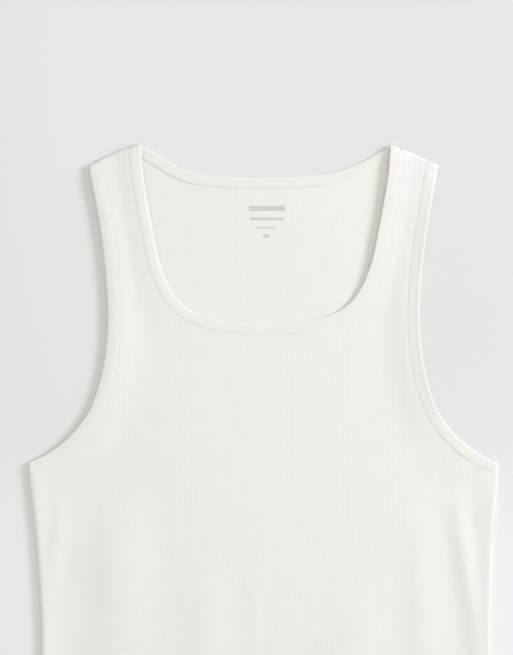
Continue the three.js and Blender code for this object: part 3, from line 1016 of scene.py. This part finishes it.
def unit_bead():
    bm = bmesh.new()
    bmesh.ops.create_uvsphere(bm, u_segments=6, v_segments=4, radius=1)
    mesh = bpy.data.meshes.new("bead")
    bm.to_mesh(mesh)
    bm.free()
    return mesh


bead = unit_bead()
bead_shape = np.array([vert.co for vert in bead.vertices]).ravel()
print("bead of", len(bead.polygons), "faces")

# %% [markdown]
# ## Rows of stitches
# A row of stitches follows the same rings as its band, at one place of the section, and the hem's rows follow
# the height of the front cloth. Rows placed by hand would sink in or float when a height changes, but these
# always lie on the cloth that they hold.

# %% Stitch rows
HEM_LINE_POINTS = 200


def point_at(line, along, mark):
    return Vector([np.interp(mark, along, line[:, axis]) for axis in range(3)])


def add_stitches(bm, line):
    """Beads of thread in step along a line."""
    along = np.concatenate([[0], np.cumsum(np.linalg.norm(np.diff(line, axis=0), axis=1))])
    for start in np.arange(0, along[-1] - STITCH_LENGTH, STITCH_PITCH):
        near, far = point_at(line, along, start), point_at(line, along, start + STITCH_LENGTH)
        turn = (far - near).to_track_quat("Z", "Y").to_matrix().to_4x4()
        size = Matrix.Diagonal((THREAD_RADIUS, THREAD_RADIUS, (far - near).length / 2, 1))
        place = Matrix.Scale(MM, 4) @ Matrix.Translation((near + far) / 2) @ turn @ size
        bead.vertices.foreach_set("co", bead_shape)
        bead.transform(place)
        bm.from_mesh(bead)


def stitching(name, lines):
    """One piece of thread with all its rows."""
    bm = bmesh.new()
    for line in lines:
        add_stitches(bm, line)
    mesh = bpy.data.meshes.new(name)
    bm.to_mesh(mesh)
    bm.free()
    mesh.shade_smooth()
    piece = bpy.data.objects.new(name, mesh)
    scene.collection.objects.link(piece)
    say_triangles(name, mesh)
    return piece


def closed_lines(rings):
    """One closed line for each row of stitches."""
    points = np.array(rings + rings[:1])
    return [points[:, row] for row in range(points.shape[1])]


def hem_line(down):
    """A row of stitches on the front's hem, from roll to roll."""
    reach = side_half_width(down) - LEFT_ROLL
    x = np.linspace(-reach, reach, HEM_LINE_POINTS)
    y = np.full(x.shape, HALF_LENGTH - down)
    return np.column_stack([x + lean(down), y, front_mid(x, y) + (CLOTH + RIB_HEIGHT) / 2])


neck_stitches = stitching("neck_stitches", closed_lines(neck_path(BAND_STITCH_ROWS)))
right_arm_rows = arm_path(BAND_STITCH_ROWS, RIGHT_LIFT)
right_arm_stitches = stitching("right_arm_stitches", closed_lines(right_arm_rows))
left_arm_rows = mirrored(arm_path(BAND_STITCH_ROWS, LEFT_LIFT))
left_arm_stitches = stitching("left_arm_stitches", closed_lines(left_arm_rows))
hem_stitches = stitching("hem_stitches", [hem_line(down) for down in HEM_STITCH_DOWNS])
bpy.data.meshes.remove(bead)

# %% [markdown]
# ## Cotton
# Cotton rib is matt and a little fuzzy. Its colour is a warm white, slightly uneven. The material gives the
# fuzz as a fine bump and a faint sheen at grazing angles. The ribs of the panels are modelled, but the bands'
# own fine ribs run across the strip and are too small to model, so a wave on the band's map gives them.

# %% Cotton
RIB_COLOUR = (0.792, 0.792, 0.785, 1)
BAND_COLOUR = (0.793, 0.792, 0.783, 1)
FUZZ_SCALE = 1400
PATCH_SCALE = 60
PATCH_TONE = 0.965
FUZZ_DEPTH = 0.12
BAND_RIB_DEPTH = 0.02
WAVE_AT_SCALE_ONE = 0.314


def cotton(name, colour, cross_ribs):
    """Matt cloth. The ribs across are for the bands."""
    material = bpy.data.materials.new(name)
    material.use_nodes = True
    nodes, links = material.node_tree.nodes, material.node_tree.links
    shader = nodes["Principled BSDF"]
    shader.inputs["Roughness"].default_value = 0.95
    shader.inputs["Specular IOR Level"].default_value = 0.15
    shader.inputs["Sheen Weight"].default_value = 0.05
    shader.inputs["Sheen Roughness"].default_value = 0.6
    place = nodes.new("ShaderNodeTexCoord")
    fuzz = nodes.new("ShaderNodeTexNoise")
    fuzz.inputs["Scale"].default_value = FUZZ_SCALE
    fuzz.inputs["Detail"].default_value = 2
    links.new(place.outputs["Object"], fuzz.inputs["Vector"])
    patches = nodes.new("ShaderNodeTexNoise")
    patches.inputs["Scale"].default_value = PATCH_SCALE
    links.new(place.outputs["Object"], patches.inputs["Vector"])
    tone = nodes.new("ShaderNodeMix")
    tone.data_type = "RGBA"
    darker = [channel * PATCH_TONE for channel in colour[:3]]
    tone.inputs["A"].default_value = (*darker, 1)
    tone.inputs["B"].default_value = colour
    links.new(patches.outputs["Fac"], tone.inputs["Factor"])
    links.new(tone.outputs["Result"], shader.inputs["Base Color"])
    bump = nodes.new("ShaderNodeBump")
    bump.inputs["Distance"].default_value = FUZZ_DEPTH * MM
    bump.inputs["Strength"].default_value = 0.5
    links.new(fuzz.outputs["Fac"], bump.inputs["Height"])
    if cross_ribs:
        ribs = nodes.new("ShaderNodeTexWave")
        ribs.bands_direction = "Y"
        ribs.inputs["Scale"].default_value = WAVE_AT_SCALE_ONE / (RIB_PITCH * MM)
        own_map = nodes.new("ShaderNodeUVMap")
        own_map.uv_map = "cut"
        links.new(own_map.outputs["UV"], ribs.inputs["Vector"])
        rib_bump = nodes.new("ShaderNodeBump")
        rib_bump.inputs["Distance"].default_value = BAND_RIB_DEPTH * MM
        links.new(ribs.outputs["Fac"], rib_bump.inputs["Height"])
        links.new(bump.outputs["Normal"], rib_bump.inputs["Normal"])
        links.new(rib_bump.outputs["Normal"], shader.inputs["Normal"])
    else:
        links.new(bump.outputs["Normal"], shader.inputs["Normal"])
    return material


rib_cotton = cotton("rib_cotton", RIB_COLOUR, False)
band_cotton = cotton("band_cotton", BAND_COLOUR, True)
print("cloth", rib_cotton.name, band_cotton.name)

# %% [markdown]
# ## Print
# Four plain grey bars are printed inside the back of the neck. Ink soaks into cloth and has no height, so the
# bars are part of the back panel's material and not pieces of their own. Each bar is where the place on the
# cloth is within half its width and half its height of its middle, on the inner face alone.

# %% Print
INK_COLOUR = (0.56, 0.56, 0.56, 1)
INK_COVER = 0.9
PRINT_BARS = [  # out, down, width, height
    (3.4, 61.6, 34, 5),
    (3.4, 71.4, 32, 2.6),
    (2.7, 79.6, 19, 1.3),
    (2.7, 87.7, 6, 3.2),
]


def math_node(nodes, links, operation, *values):
    """A sum on numbers or sockets, as one node."""
    node = nodes.new("ShaderNodeMath")
    node.operation = operation
    for socket, value in zip(node.inputs, values):
        if isinstance(value, float):
            socket.default_value = value
        else:
            links.new(value, socket)
    return node.outputs["Value"]


def add_print(material):
    """Plain grey bars on the inner face of the cloth."""
    nodes, links = material.node_tree.nodes, material.node_tree.links
    colour = nodes["Principled BSDF"].inputs["Base Color"]
    place = nodes.new("ShaderNodeTexCoord")
    apart = nodes.new("ShaderNodeSeparateXYZ")
    links.new(place.outputs["Object"], apart.inputs["Vector"])
    x, y, z = (apart.outputs[axis] for axis in "XYZ")
    inked = 0.0
    for out, down, width, height in PRINT_BARS:
        across = math_node(nodes, links, "COMPARE", x, out * MM, width / 2 * MM)
        along = math_node(nodes, links, "COMPARE", y, (HALF_LENGTH - down) * MM, height / 2 * MM)
        bar = math_node(nodes, links, "MULTIPLY", across, along)
        inked = math_node(nodes, links, "MAXIMUM", bar, inked)
    inner_face = math_node(nodes, links, "GREATER_THAN", z, BACK_MID * MM)
    cover = math_node(nodes, links, "MULTIPLY", inked, inner_face)
    ink = nodes.new("ShaderNodeMix")
    ink.data_type = "RGBA"
    ink.inputs["B"].default_value = INK_COLOUR
    links.new(math_node(nodes, links, "MULTIPLY", cover, INK_COVER), ink.inputs["Factor"])
    links.new(colour.links[0].from_socket, ink.inputs["A"])
    links.new(ink.outputs["Result"], colour)


printed_cotton = cotton("printed_cotton", RIB_COLOUR, False)
add_print(printed_cotton)
print(len(PRINT_BARS), "plain bars")

# %% [markdown]
# ## Thread, and which piece wears what
# The thread is cotton too, a shade deeper than the cloth, so the same material serves it in its own colour.
# Each piece then takes one material over its whole surface.

# %% Dress the pieces
THREAD_COLOUR = (0.74, 0.73, 0.68, 1)

thread = cotton("thread", THREAD_COLOUR, False)
front_panel.data.materials.append(rib_cotton)
back_panel.data.materials.append(printed_cotton)
for piece in (neck_band, right_arm_band, left_arm_band):
    piece.data.materials.append(band_cotton)
for piece in (neck_stitches, right_arm_stitches, left_arm_stitches, hem_stitches):
    piece.data.materials.append(thread)
print(len(bpy.data.materials), "materials")

# %% [markdown]
# ## What each piece stands for
# The frame holds a plain closed solid for each piece. Each cloth piece takes the place of one solid and rides
# with it, and the stitches ride along with the cloth that they hold.

# %% Tie the pieces to the frame
STANDS_FOR = [  # piece, node, slot
    (front_panel, "front_panel", "rib_knit"),
    (back_panel, "back_panel", "rib_knit"),
    (neck_band, "neck_binding", "binding"),
    (right_arm_band, "armhole_binding_right_in_view", "binding"),
    (left_arm_band, "armhole_binding_left_in_view", "binding"),
]
for piece, node, slot in STANDS_FOR:
    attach(piece, "root")
    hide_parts(node)
for piece in (neck_stitches, right_arm_stitches, left_arm_stitches):
    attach(piece, "root")
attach(hem_stitches, "root")
print(len(STANDS_FOR), "pieces stand for solids")
